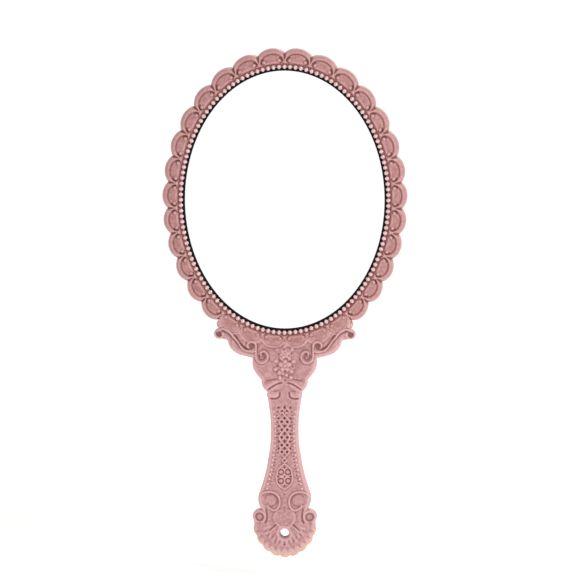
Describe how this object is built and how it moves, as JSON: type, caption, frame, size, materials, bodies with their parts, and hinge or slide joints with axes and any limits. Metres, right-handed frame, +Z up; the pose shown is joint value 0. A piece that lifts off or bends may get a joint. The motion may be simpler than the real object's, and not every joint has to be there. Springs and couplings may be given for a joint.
{
  "type": "hand mirror",
  "caption": "Upright hand mirror: oval glass in a scalloped, beaded frame with scroll shoulders, a slim relief handle and a shell-shaped end with a hanging hole.",
  "frame": {"origin": "on the handle's axis at the middle of the hand grip, on the joint plane between the two shells", "axes": "+Z up along the handle towards the head, +X to the right seen from the glass side, glass faces -Y"},
  "size_m": [0.1196, 0.0127, 0.2503],
  "materials": {
    "front_shell": "matte dusty rose moulding with paler raised edges",
    "back_shell": "satin rose tan moulding",
    "mirror": "polished float glass, silvered behind",
    "silver": "silver film under grey backing paint",
    "gasket": "black rubber",
    "tape": "white double-sided tape",
    "foam": "grey closed-cell foam"
  },
  "bodies": {
    "root": {"front_frame": "front_shell", "back_cover": "back_shell", "mirror_glass": "mirror", "silver_coating": "silver", "glass_gasket": "gasket", "tape_pads": "tape", "foam_pad": "foam"}
  },
  "joints": []
}
